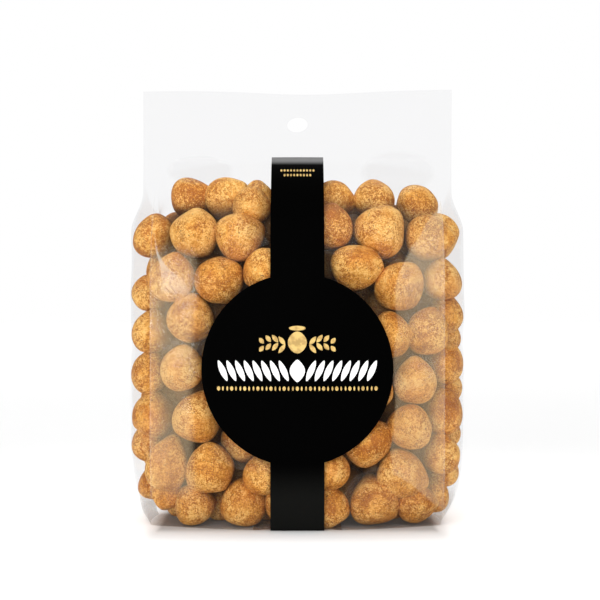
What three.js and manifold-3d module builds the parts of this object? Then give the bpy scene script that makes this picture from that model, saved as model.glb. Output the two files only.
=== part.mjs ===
// A clear gusseted bag of roasted hazelnuts that stands on its flat bottom, with a paper band
// round it: up the front, where it widens to a disc, under the bottom and up the back.
// Millimetres, +Z up, the front towards -Y, the origin on the surface it stands on, under the
// middle of the bag. The nuts are packed first, and they press the film out where they touch it.
import * as THREE from "three";
import { mergeVertices } from "three/addons/utils/BufferGeometryUtils.js";
import Module from "manifold-3d";

const wasm = await Module();
wasm.setup();

// Filled body: its widest half width and half depth, and the heights where its form changes.
const BODY_HALF_WIDTH = 59.2;
const BODY_HALF_DEPTH = 26.4;
const FOOT_HEIGHT = 42; // below this the body draws in towards the bottom
const FOOT_WIDTH_LOSS = 0.14; // share of the half width that is lost at the bottom
const FOOT_DEPTH_LOSS = 0.12;
const SHOULDER_HEIGHT = 82; // above this the front and back lean together
const GUSSET_END = 117; // the gussets have drawn in to the header's width here
const DOME_TOP = 128.5; // where the front and back film meet

// Section: the front and back panels end in creases, and the side gussets bow out between them.
const CREASE_WIDTH = 0.852; // of the half width, and more at the bottom's square corners
const CREASE_WIDTH_GAIN = 0.125;
const CREASE_DEPTH = 0.769; // of the half depth, and less where the gussets close at the top
const CREASE_DEPTH_LOSS = 0.5;
const CREASE_FOOT_LOSS = 0.25; // and less at the bottom, whose front edge curves more
const PANEL_STEPS = 28;
const GUSSET_STEPS = 12;
const BODY_RINGS = 42;
const BAND_RINGS = 28;

// Header: the flat sealed film above the contents, with a hole to hang it by.
const HEADER_HALF_WIDTH = 55.1;
const HEADER_THICKNESS = 1;
const HEADER_FOOT = 104; // it starts inside the body
const BAG_HEIGHT = 153.6;
const TOP_DIP = 1.3; // the top edge sags a little above the hole
const HEADER_WAVE = 1.1; // the film's wave out of its plane, at the top edge
const HANG_HOLE = { height: 141.1, halfWidth: 3.7, halfHeight: 2.75, tilt: 0.12 };

// Contents: hazelnuts, and how far each presses the film out where it touches.
const NUT_RADIUS = 8.35;
const NUT_SPREAD = 0.09;
const NUT_COUNT = 140;
const FILL_TOP = 123;
const SETTLING_ROUNDS = 420;
const SETTLING_FALL = 0.22;
const SHOWN_EASE = 0.1; // how easily a nut that shows is pushed aside, where the others have 1
const SIGHT = { x: 0.9, y: -480, z: 78.5 }; // it keeps to its line through this point in front
const SIGHT_PULL = 0.7; // the share of the way back to that line that it goes each round
const HOME_PULL = 0.1; // and along the line, towards the depth at which it started
const PRESS_OUT = 0.9;
const PRESS_REACH = 5.2;
const PRESS_DEPTH = 2.6; // a nut further behind the film than this doesn't press it

// The nuts that show through the front, row by row from the bottom up, each as its place across
// the bag, its height, its radius and, where it doesn't touch the film, how far behind that it is.
const SHOWN_NUTS = [
  [[-35.4, 7.3, 7.2], [-18.8, 8.3, 8.2, 1], [11, 7.2, 7.1], [26.5, 8.9, 8.8, 2], [42.8, 6.9, 6.9]],
  [[-50, 13, 6, 3], [50, 12.5, 6.3, 4], [49.7, 25, 7, 4], [-51.5, 28, 6.6, 10]],
  [[-44.8, 21.4, 8.8, 2], [-30.2, 20.7, 8.7], [-11.6, 18.6, 7.2], [11.3, 20, 6.9], [36.2, 19, 8.8]],
  [[-18.1, 30, 8.5, 3], [24.1, 28.8, 8.6], [38.6, 34.6, 7.9], [50, 39, 7.8, 5]],
  [[-50, 38, 8.3, 4], [-35.1, 38, 8.8], [40.7, 50.8, 8], [51, 56.5, 7.3, 8]],
  [[-39.9, 55, 7.9], [-51, 53, 7.5, 8], [-51, 67.5, 7.6, 6], [32, 66.6, 7.9], [45.2, 67.8, 8, 1]],
  [[-37.1, 72.3, 8.5], [51, 74, 7.2, 9], [35.2, 83.3, 8.6], [49.6, 86, 7.4, 3]],
  [[-52, 81, 6.8, 12], [-44.1, 86.5, 8.8, 1], [-27.1, 85.4, 8.5], [-10.9, 88.9, 7.7], [20.6, 89.6, 8.6]],
  [[-48.8, 101.5, 8, 2], [-36, 102, 8.9], [-19.9, 100.3, 8.7, 1], [11.3, 104.1, 8.1]],
  [[28.2, 102, 9.3], [46.6, 100.2, 8.7], [42.8, 111.8, 7.8, 3], [27.3, 114, 7.6, 5]],
  [[-37.3, 115, 7.7, 4], [-25.1, 114.6, 7.8, 4], [-16.4, 112, 6.8, 8], [-14.6, 115.5, 6.6, 16]],
  [[13.2, 113.7, 7.6, 4]],
  [[37.5, 94.5, 8.2, 17], [19.5, 101, 8.2, 17], [-10.5, 104.5, 8, 16], [54, 47.5, 6.5, 18]],
];
const CORNERS = [
  { at: -37.5, slope: 0.58 }, // the empty folds of film at the bottom corners: where each
  { at: 47, slope: 1.1 }, // starts across the bag, and how steeply the nuts stop above it
];

// Band: paper, clear of what the nuts press out.
const BAND_CLEARANCE = 1.3;
const BAND_THICKNESS = 0.4;
const BAND_HALF_WIDTH = 9.25;
const BAND_END = 1.6; // its ends stop this far from the header's middle
const DISC_RADIUS = 32.6;
const DISC_HEIGHT = 55;
const GAP = 0.3; // between pieces that lie on each other

// How far a height is on its way from one level to another, from 0 to 1.
const shareOf = (z, from, to) => Math.min(0.9995, Math.max(0, (z - from) / (to - from)));

// Half width and half depth of the body at a height, and the creases' shares of both.
function section(z) {
  const foot = (1 - shareOf(z, 0, FOOT_HEIGHT)) ** 4;
  const lean = shareOf(z, SHOULDER_HEIGHT, DOME_TOP);
  const drawn = THREE.MathUtils.smoothstep(z, 2 * GUSSET_END - DOME_TOP - 2.5, GUSSET_END);
  const narrowing = 1 - (1 - HEADER_HALF_WIDTH / BODY_HALF_WIDTH) * drawn;
  return {
    width: BODY_HALF_WIDTH * (1 - FOOT_WIDTH_LOSS * foot) * narrowing * Math.sqrt(1 - lean ** 12),
    depth: BODY_HALF_DEPTH * (1 - FOOT_DEPTH_LOSS * foot) * (1 - lean * lean) ** 0.68,
    fold: CREASE_WIDTH + CREASE_WIDTH_GAIN * foot,
    crease: CREASE_DEPTH - CREASE_DEPTH_LOSS * lean * lean - CREASE_FOOT_LOSS * foot,
  };
}

// A panel's half depth at a place across the bag, and a gusset's half width at a depth.
function panelDepth({ width, depth, fold, crease }, x) {
  return depth * (1 - (1 - crease) * (x / (fold * width)) ** 2);
}

function gussetWidth({ width, depth, fold, crease }, y) {
  return width * (1 - (1 - fold) * (y / (crease * depth)) ** 2);
}

// The sides of a section in turn, seen from above: front, right, back and left. Each takes a
// section and a place along that side from -1 to 1, and gives the point across and deep.
const alongPanel = (cut, s) => cut.fold * cut.width * s;
const alongGusset = (cut, s) => cut.crease * cut.depth * s;
const FRONT = {
  steps: PANEL_STEPS,
  at: (cut, s) => [alongPanel(cut, s), -panelDepth(cut, alongPanel(cut, s))],
};
const RIGHT = {
  steps: GUSSET_STEPS,
  at: (cut, s) => [gussetWidth(cut, alongGusset(cut, s)), alongGusset(cut, s)],
};
const BACK = {
  steps: PANEL_STEPS,
  at: (cut, s) => [-alongPanel(cut, s), panelDepth(cut, alongPanel(cut, s))],
};
const LEFT = {
  steps: GUSSET_STEPS,
  at: (cut, s) => [-gussetWidth(cut, alongGusset(cut, s)), -alongGusset(cut, s)],
};
const SIDES = [FRONT, RIGHT, BACK, LEFT];

// The point of the filled body on one side, at a place along it and a height.
function bodyPoint(side, s, z) {
  const [across, deep] = side.at(section(z), s);
  return new THREE.Vector3(across, deep, z);
}

// The direction out of the film there.
function outwards(side, s, z) {
  const step = 0.01;
  const along = bodyPoint(side, s + step, z).sub(bodyPoint(side, s - step, z));
  const up = bodyPoint(side, s, z + step).sub(bodyPoint(side, s, z - step));
  return along.cross(up).normalize();
}

// Seeded draws from 0 to 1, by a linear congruential rule.
function draws(seed) {
  let state = seed;
  return () => {
    state = (state * 1103515245 + 12345) % 2147483648;
    return state / 2147483648;
  };
}

// How far a point is inside each bound of the contents: a panel, a gusset, the bottom, the fill
// height and the folds at the bottom corners.
const WALLS = [
  (x, y, z) => panelDepth(section(z), x) - Math.abs(y),
  (x, y, z) => gussetWidth(section(z), y) - Math.abs(x),
  (x, y, z) => z,
  (x, y, z) => FILL_TOP - z,
  ...CORNERS.map(({ at, slope }) => (x, y, z) => z - slope * Math.sign(at) * (x - at)),
];

// How fast a point's distance inside a wall grows along each axis, and in all.
function wallSlope(wall, x, y, z) {
  const step = 0.01;
  const gx = (wall(x + step, y, z) - wall(x - step, y, z)) / (2 * step);
  const gy = (wall(x, y + step, z) - wall(x, y - step, z)) / (2 * step);
  const gz = (wall(x, y, z + step) - wall(x, y, z - step)) / (2 * step);
  return { gx, gy, gz, steepness: Math.sqrt(gx * gx + gy * gy + gz * gz) };
}

// Moves a nut back inside a wall, straight away from it.
function holdInside(nut, wall) {
  const { gx, gy, gz, steepness } = wallSlope(wall, nut.x, nut.y, nut.z);
  const short = nut.r - wall(nut.x, nut.y, nut.z) / steepness;
  if (short <= 0) return;
  nut.x += (short * gx) / steepness;
  nut.y += (short * gy) / steepness;
  nut.z += (short * gz) / steepness;
}

// Pushes two nuts apart where they overlap, the lighter one further.
function pushApart(a, b) {
  const dx = b.x - a.x;
  const dy = b.y - a.y;
  const dz = b.z - a.z;
  const reach = a.r + b.r;
  const square = dx * dx + dy * dy + dz * dz;
  if (square >= reach * reach || square === 0) return;
  const distance = Math.sqrt(square);
  const share = (reach - distance) / distance / (a.ease + b.ease);
  a.x -= dx * share * a.ease;
  a.y -= dy * share * a.ease;
  a.z -= dz * share * a.ease;
  b.x += dx * share * b.ease;
  b.y += dy * share * b.ease;
  b.z += dz * share * b.ease;
}

// Draws a nut that shows back to the line on which it is seen from the front.
function drawBack(nut) {
  const ahead = (nut.y - SIGHT.y) / (nut.home.y - SIGHT.y);
  nut.x += SIGHT_PULL * (SIGHT.x + (nut.home.x - SIGHT.x) * ahead - nut.x);
  nut.z += SIGHT_PULL * (SIGHT.z + (nut.home.z - SIGHT.z) * ahead - nut.z);
  nut.y += HOME_PULL * (nut.home.y - nut.y);
}

// The nuts in the bag: those that show keep their places, and the rest settle round them.
function packNuts() {
  const draw = draws(20);
  const nuts = SHOWN_NUTS.flat().map(([x, z, r, behind = 0]) => {
    const front = -panelDepth(section(z), x);
    const { steepness } = wallSlope(WALLS[0], x, front, z);
    const home = { x, y: front + r * steepness + behind, z };
    return { ...home, r, ease: SHOWN_EASE, home };
  });
  while (nuts.length < NUT_COUNT) {
    const z = 8 + 102 * draw();
    const { width, depth } = section(z);
    const x = (2 * draw() - 1) * (width - NUT_RADIUS);
    const y = (1.3 * draw() - 0.3) * (depth - NUT_RADIUS);
    const r = NUT_RADIUS * (1 + NUT_SPREAD * (2 * draw() - 1));
    nuts.push({ x, y, z, r, ease: 1 });
  }
  for (let round = 0; round < SETTLING_ROUNDS; round++) {
    for (const nut of nuts) nut.z -= SETTLING_FALL * nut.ease * (1 - round / SETTLING_ROUNDS);
    for (let i = 0; i < nuts.length; i++) {
      for (let j = i + 1; j < nuts.length; j++) pushApart(nuts[i], nuts[j]);
    }
    for (const nut of nuts) {
      if (nut.home) drawBack(nut);
      for (const wall of WALLS) holdInside(nut, wall);
    }
  }
  return nuts;
}

const NUTS = packNuts();

// How far the nuts press the film out at a point of it.
function pressedOut(point, normal) {
  let press = 0;
  for (const nut of NUTS) {
    const from = new THREE.Vector3(point.x - nut.x, point.y - nut.y, point.z - nut.z);
    const behind = from.dot(normal);
    if (behind < 0 || behind > nut.r + PRESS_DEPTH) continue;
    const aside = from.lengthSq() - behind * behind;
    const touch = Math.min(1, 1 - (behind - nut.r) / PRESS_DEPTH);
    press += touch * Math.exp(-aside / (PRESS_REACH * PRESS_REACH));
  }
  return PRESS_OUT * Math.min(press, 1);
}

// A closed skin over the filled body, pushed out by a rule, with a flat bottom at a height.
function bodySkin(pushOut, bottom, rings) {
  const points = [];
  for (let ring = 0; ring <= rings; ring++) {
    // Closer rings at the foot and the dome, where the form turns fastest.
    const share = ring / rings;
    const z = DOME_TOP * (share - 0.075 * Math.sin(2 * Math.PI * share));
    for (const side of SIDES) {
      for (let step = 0; step < side.steps; step++) {
        const s = (2 * step) / side.steps - 1;
        const point = bodyPoint(side, s, z);
        const normal = outwards(side, s, Math.min(Math.max(z, 0.05), DOME_TOP - 0.05));
        point.addScaledVector(normal, pushOut(point, normal));
        point.z = ring === 0 ? bottom : Math.max(point.z, bottom);
        points.push(point);
      }
    }
  }
  const around = SIDES.reduce((sum, side) => sum + side.steps, 0);
  const triangles = [];
  for (let ring = 0; ring < rings; ring++) {
    for (let k = 0; k < around; k++) {
      const a = ring * around + k;
      const b = ring * around + ((k + 1) % around);
      triangles.push(a, b, b + around, a, b + around, a + around);
    }
  }
  const last = rings * around;
  const foot = points.push(new THREE.Vector3(0, 0, bottom)) - 1;
  const crown = points.push(new THREE.Vector3(0, 0, points[last].z + 0.1)) - 1;
  for (let k = 0; k < around; k++) {
    const next = (k + 1) % around;
    triangles.push(foot, next, k, crown, last + k, last + next);
  }
  const geometry = new THREE.BufferGeometry().setFromPoints(points);
  return geometry.setIndex(triangles);
}

// A closed geometry as a solid that can be joined and cut, and a solid as a geometry.
function solidOf(geometry) {
  const bare = geometry.clone();
  bare.deleteAttribute("normal");
  bare.deleteAttribute("uv");
  const merged = mergeVertices(bare, 1e-4);
  const vertProperties = new Float32Array(merged.attributes.position.array);
  const triVerts = new Uint32Array(merged.index.array);
  return new wasm.Manifold(new wasm.Mesh({ numProp: 3, vertProperties, triVerts }));
}

function geometryOf(solid) {
  const mesh = solid.getMesh();
  const geometry = new THREE.BufferGeometry();
  geometry.setAttribute("position", new THREE.BufferAttribute(mesh.vertProperties, 3));
  geometry.setIndex(new THREE.BufferAttribute(mesh.triVerts, 1));
  geometry.computeVertexNormals();
  return geometry;
}

function boxAt(x0, x1, y0, y1, z0, z1) {
  const box = new THREE.BoxGeometry(x1 - x0, y1 - y0, z1 - z0);
  return box.translate((x0 + x1) / 2, (y0 + y1) / 2, (z0 + z1) / 2);
}

// The header's top edge at a place across it, and the film's wave at a height.
const headerTop = (x) => BAG_HEIGHT - TOP_DIP * Math.exp(-(((x - 3) / 24) ** 2)) + 0.006 * (x - 55);
const headerWave = (x, z) =>
  HEADER_WAVE * Math.sin(x / 17 + 0.6) * (Math.max(0, z - DOME_TOP) / (BAG_HEIGHT - DOME_TOP)) ** 2;

function headerSolid() {
  const height = BAG_HEIGHT - HEADER_FOOT;
  const slab = new THREE.BoxGeometry(2 * HEADER_HALF_WIDTH, HEADER_THICKNESS, height, 28, 1, 12);
  slab.translate(0, 0, HEADER_FOOT + height / 2);
  const place = slab.attributes.position;
  for (let i = 0; i < place.count; i++) {
    const x = place.getX(i);
    const share = (place.getZ(i) - HEADER_FOOT) / height;
    const z = HEADER_FOOT + share * (headerTop(x) - HEADER_FOOT);
    place.setXYZ(i, x, place.getY(i) + headerWave(x, z), z);
  }
  const hole = new THREE.CylinderGeometry(1, 1, 12, 28);
  hole.scale(HANG_HOLE.halfWidth, 1, HANG_HOLE.halfHeight);
  hole.rotateY(-HANG_HOLE.tilt).translate(0, 0, HANG_HOLE.height);
  return solidOf(slab).subtract(solidOf(hole));
}

// Film and contents: the body, with a shallow channel for the band under it, and the header.
function bagSolid() {
  const body = solidOf(bodySkin(pressedOut, 0, BODY_RINGS));
  const half = BAND_HALF_WIDTH + GAP;
  const channel = boxAt(-half, half, -40, 40, -1, BAND_THICKNESS + GAP);
  return body.subtract(solidOf(channel)).add(headerSolid());
}

// The band follows the body over its shoulders and ends on both sides of the header.
function bandSolid() {
  const outer = solidOf(bodySkin(() => BAND_CLEARANCE + BAND_THICKNESS, 0, BAND_RINGS));
  const inner = solidOf(bodySkin(() => BAND_CLEARANCE, BAND_THICKNESS, BAND_RINGS));
  const half = BAND_HALF_WIDTH;
  const strip = solidOf(boxAt(-half, half, -40, 40, -1, BAG_HEIGHT));
  const disc = new THREE.CylinderGeometry(DISC_RADIUS, DISC_RADIUS, 40, 72);
  disc.translate(0, -20, DISC_HEIGHT);
  const ends = boxAt(-40, 40, -BAND_END, BAND_END, DOME_TOP - 8, BAG_HEIGHT);
  return outer.subtract(inner).intersect(strip.add(solidOf(disc))).subtract(solidOf(ends));
}

const filledBag = new THREE.MeshStandardMaterial({ color: 0xc98d4b, roughness: 0.35, metalness: 0 });
const blackPaper = new THREE.MeshStandardMaterial({ color: 0x0b0a0a, roughness: 0.6, metalness: 0 });

function piece(name, solid, material) {
  const mesh = new THREE.Mesh(geometryOf(solid), material);
  mesh.name = name;
  return mesh;
}

const group = new THREE.Group();
group.add(piece("bag", bagSolid(), filledBag));
group.add(piece("band", bandSolid(), blackPaper));

export default group;
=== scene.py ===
"""A clear gusseted bag of roasted hazelnuts with a black paper band, dressed round its frame.

The film is a flat sheet laid round the bag's form, the nuts are packed inside that form, and the
band is a flat strip with a disc that is wrapped up the front, under the bottom and up the back.
"""

import logging
import math
from contextlib import contextmanager
from dataclasses import dataclass, field
from enum import Enum
from typing import Any, Callable, Dict, Iterator, List, Optional, Sequence, Tuple, Union

import bpy
import numpy as np
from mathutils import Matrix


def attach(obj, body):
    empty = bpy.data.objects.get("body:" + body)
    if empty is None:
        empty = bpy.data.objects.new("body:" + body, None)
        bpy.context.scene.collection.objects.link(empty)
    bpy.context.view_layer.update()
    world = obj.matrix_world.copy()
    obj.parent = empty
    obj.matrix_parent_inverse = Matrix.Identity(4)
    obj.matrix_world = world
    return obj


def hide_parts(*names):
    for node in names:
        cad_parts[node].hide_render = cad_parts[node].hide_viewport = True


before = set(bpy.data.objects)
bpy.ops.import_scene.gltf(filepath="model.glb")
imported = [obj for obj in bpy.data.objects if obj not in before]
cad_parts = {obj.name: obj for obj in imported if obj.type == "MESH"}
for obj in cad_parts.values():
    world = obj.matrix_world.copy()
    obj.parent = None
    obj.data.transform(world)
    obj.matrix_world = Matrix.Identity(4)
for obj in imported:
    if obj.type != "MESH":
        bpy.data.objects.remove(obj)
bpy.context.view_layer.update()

LOG = logging.getLogger("hazelnut_bag")
MM = 0.001
# The camera's place, on whose lines of sight the nuts that show are set.
EYE = (0.9 * MM, -480.0 * MM, 78.5 * MM)

Array = np.ndarray
Colour = Tuple[float, float, float]


# ---------------------------------------------------------------------------------------------
# Shader bench


def _operator(operation: str, flipped: bool = False) -> Callable[..., "Wire"]:
    """Makes a method of Wire that adds one Math node.

    Args:
        operation: the node's operation.
        flipped: whether the wire itself is the second operand.

    Returns:
        The method.
    """

    def method(wire: "Wire", *others: "Number") -> "Wire":
        """Adds the node and returns its result."""
        operands = (wire, *others)[:: -1 if flipped else 1]
        bench = wire.bench
        made = bench.node("ShaderNodeMath", {"operation": operation}, dict(enumerate(operands)))
        return Wire(bench, made.outputs[0])

    return method


class Wire:
    """A number that runs between shader nodes, so that shader maths reads as an expression."""

    def __init__(self, bench: "Bench", socket: bpy.types.NodeSocket) -> None:
        """Wraps a socket of a bench's node tree."""
        self.bench = bench
        self.socket = socket

    __add__ = __radd__ = _operator("ADD")
    __sub__ = _operator("SUBTRACT")
    __rsub__ = _operator("SUBTRACT", flipped=True)
    __mul__ = __rmul__ = _operator("MULTIPLY")
    __truediv__ = _operator("DIVIDE")
    __pow__ = _operator("POWER")
    __abs__ = _operator("ABSOLUTE")
    most = _operator("MAXIMUM")
    least = _operator("MINIMUM")

    def held(self) -> "Wire":
        """This held between 0 and 1."""
        return self.most(0.0).least(1.0)

    def rise(self, start: float, end: float) -> "Wire":
        """A smooth step.

        Args:
            start: where the step is still 0.
            end: where it has reached 1; it may be the smaller of the two.

        Returns:
            The step, from 0 to 1.
        """
        low, high = min(start, end), max(start, end)
        made = self.bench.node(
            "ShaderNodeMapRange",
            {"interpolation_type": "SMOOTHSTEP", "clamp": True},
            {"Value": self, "From Min": low, "From Max": high},
        )
        step = Wire(self.bench, made.outputs[0])
        return step if start < end else 1.0 - step


Number = Union[Wire, float]


class Bench:
    """The node tree of a material or world, with one way to add a node to it."""

    def __init__(self, owner: Union[bpy.types.Material, bpy.types.World]) -> None:
        """Empties the owner's node tree."""
        self.owner = owner
        owner.use_nodes = True
        self.tree = owner.node_tree
        self.tree.nodes.clear()

    def node(
        self,
        kind: str,
        settings: Optional[Dict[str, Any]] = None,
        sockets: Optional[Dict[Union[str, int], Any]] = None,
    ) -> bpy.types.Node:
        """Adds a node, sets it up and feeds it.

        Args:
            kind: the node's type.
            settings: its properties, and "stops" for a ramp's places and colours.
            sockets: values, wires or sockets for its inputs, by name or number.

        Returns:
            The node.
        """
        made = self.tree.nodes.new(kind)
        for key, value in (settings or {}).items():
            if key == "stops":
                ramp = made.color_ramp.elements
                while len(ramp) < len(value):
                    ramp.new(0.5)
                for stop, (place, colour) in zip(ramp, value):
                    stop.position = place
                    stop.color = (*colour, 1.0)
            else:
                setattr(made, key, value)
        for key, value in (sockets or {}).items():
            if isinstance(value, Wire):
                value = value.socket
            if isinstance(value, bpy.types.NodeSocket):
                self.tree.links.new(value, made.inputs[key])
            else:
                made.inputs[key].default_value = value
        return made

    def places(self) -> bpy.types.NodeSocket:
        """The Object coordinates' socket."""
        return self.node("ShaderNodeTexCoord").outputs["Object"]

    def axes(self) -> Tuple[Wire, Wire, Wire]:
        """The Object coordinates as three wires."""
        parts = self.node("ShaderNodeSeparateXYZ", None, {0: self.places()}).outputs
        return Wire(self, parts[0]), Wire(self, parts[1]), Wire(self, parts[2])

    def noise(
        self, scale: float, detail: float = 2.0, roughness: float = 0.5, distortion: float = 0.0
    ) -> Wire:
        """A noise texture's value.

        Args:
            scale: how many of its features go in a metre.
            detail: how many finer layers it has.
            roughness: how strong the finer layers are.
            distortion: how much it is warped.

        Returns:
            The value, around 0.5.
        """
        feeds = {
            "Vector": self.places(),
            "Scale": scale,
            "Detail": detail,
            "Roughness": roughness,
            "Distortion": distortion,
        }
        return Wire(self, self.node("ShaderNodeTexNoise", None, feeds).outputs[0])

    def cells(
        self, scale: float, places: bpy.types.NodeSocket, feature: str = "F1"
    ) -> bpy.types.Node:
        """A Voronoi texture of so many cells to the metre, at the given coordinates."""
        feeds = {"Vector": places, "Scale": scale}
        return self.node("ShaderNodeTexVoronoi", {"feature": feature}, feeds)

    def _vectors(self, operation: str, first: Any, **second: Any) -> bpy.types.NodeSocket:
        """The result of a Vector Math node, with its second input by name or as "other"."""
        feeds = {0: first, **{1 if key == "other" else key: v for key, v in second.items()}}
        return self.node("ShaderNodeVectorMath", {"operation": operation}, feeds).outputs[0]

    def warped(self, scale: float, reach: float) -> bpy.types.NodeSocket:
        """Object coordinates that a noise shifts about.

        Args:
            scale: the noise's scale.
            reach: how far a point is shifted, in metres.

        Returns:
            The coordinates' socket.
        """
        shift = self.node(
            "ShaderNodeTexNoise", None, {"Vector": self.places(), "Scale": scale, "Detail": 2.0}
        ).outputs["Color"]
        centred = self._vectors("SUBTRACT", shift, other=(0.5, 0.5, 0.5))
        scaled = self._vectors("SCALE", centred, Scale=2 * reach)
        return self._vectors("ADD", self.places(), other=scaled)

    def blend(self, share: Number, under: Any, over: Any) -> bpy.types.NodeSocket:
        """Mixes two colours.

        Args:
            share: how much of the second one shows.
            under: the first colour, as a socket or three numbers.
            over: the second colour.

        Returns:
            The mixed colour's socket.
        """
        colours = [c if isinstance(c, bpy.types.NodeSocket) else (*c, 1.0) for c in (under, over)]
        settings = {"data_type": "RGBA", "clamp_factor": True}
        feeds = {0: share, 6: colours[0], 7: colours[1]}
        return self.node("ShaderNodeMix", settings, feeds).outputs[2]

    def bump(self, height: Wire, distance: float, strength: float) -> bpy.types.NodeSocket:
        """A normal bumped by a relief from 0 to 1, whose full height is the distance."""
        feeds = {"Strength": strength, "Distance": distance, "Height": height}
        return self.node("ShaderNodeBump", None, feeds).outputs[0]

    def principled(self, **feeds: Any) -> bpy.types.NodeSocket:
        """A Principled shader fed by its sockets' names, with _ for each space."""
        named = {key.replace("_", " "): value for key, value in feeds.items()}
        return self.node("ShaderNodeBsdfPrincipled", None, named).outputs[0]

    def finish(self, surface: bpy.types.NodeSocket) -> bpy.types.Material:
        """Joins a shader to the output and returns the finished material."""
        self.node("ShaderNodeOutputMaterial", None, {"Surface": surface})
        return self.owner


# ---------------------------------------------------------------------------------------------
# Finishes


@dataclass(frozen=True)
class RoastedCoat:
    """The nuts' dull ochre coat: patches of pale and brown, pale flecks, dark specks, and painted
    shade deep between the nuts.
    """

    deep: Colour = (0.37, 0.113, 0.011)
    mid: Colour = (0.64, 0.266, 0.036)
    gold: Colour = (0.78, 0.387, 0.072)
    fleck: Colour = (0.90, 0.57, 0.185)
    speck: Colour = (0.15, 0.045, 0.012)
    blush: Colour = (0.60, 0.19, 0.030)
    hollow_shade: Colour = (0.060, 0.024, 0.009)
    patch_scale: float = 125.0
    mottle_scale: float = 900.0
    grain_scale: float = 2500.0
    vein_scale: float = 380.0
    speck_scale: float = 900.0
    dust_scale: float = 1500.0
    hollow_from: float = 5.0 * MM
    hollow_to: float = 13.0 * MM

    def material(self) -> bpy.types.Material:
        """Makes the finish.

        Returns:
            The material.
        """
        bench = Bench(bpy.data.materials.new("roasted_coat"))
        tone, depth = (
            Wire(bench, bench.node("ShaderNodeAttribute", {"attribute_name": name}).outputs[2])
            for name in ("tone", "depth")
        )
        patches = bench.noise(self.patch_scale, 3, 0.55, 0.6)
        mottle = bench.noise(self.mottle_scale, 4, 0.66, 0.5)
        grain = bench.noise(self.grain_scale, 3, 0.75)
        rough = 0.8 + 1.5 * bench.noise(120, 1).rise(0.38, 0.64)
        warm = 0.5 + 1.4 * (patches - 0.5) + rough * (1.3 * (mottle - 0.5) + 1.9 * (grain - 0.5))
        warm = (warm + 0.55 * (tone - 0.5)).held()
        stops = [(0.22, self.deep), (0.43, self.mid), (0.60, self.gold), (0.80, self.fleck)]
        colour = bench.node("ShaderNodeValToRGB", {"stops": stops}, {0: warm}).outputs[0]
        blush = bench.noise(90, 1).rise(0.54, 0.70)
        colour = bench.blend(0.26 * blush, colour, self.blush)
        web = bench.cells(self.vein_scale, bench.warped(480, 0.0012), "DISTANCE_TO_EDGE")
        ridges = Wire(bench, web.outputs[0])
        veins = ridges.rise(0.06, 0.0) * bench.noise(240, 2).rise(0.46, 0.60)
        colour = bench.blend(0.6 * veins, colour, self.deep)
        dots = bench.cells(self.speck_scale, bench.warped(900, 0.0005))
        pits = Wire(bench, dots.outputs[0])
        specks = pits.rise(0.26, 0.14) * bench.noise(380, 2).rise(0.50, 0.58)
        colour = bench.blend(0.8 * specks, colour, self.speck)
        dust = bench.noise(self.dust_scale, 2, 0.6).rise(0.58, 0.70)
        dust = dust * bench.noise(300, 2).rise(0.42, 0.60)
        colour = bench.blend(0.6 * dust, colour, self.fleck)
        # Painted shade: deep between the nuts, where little light gets in, the colour is darkened.
        shade = depth.rise(self.hollow_from, self.hollow_to)
        colour = bench.blend(0.8 * shade, colour, self.hollow_shade)
        relief = 0.5 * mottle + 0.3 * grain - 0.35 * veins - 0.3 * specks
        return bench.finish(
            bench.principled(
                Base_Color=colour,
                Roughness=(0.52 + 0.25 * mottle).held(),
                Specular_IOR_Level=0.3,
                Normal=bench.bump(relief, 0.0005, 0.85),
            )
        )


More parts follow.
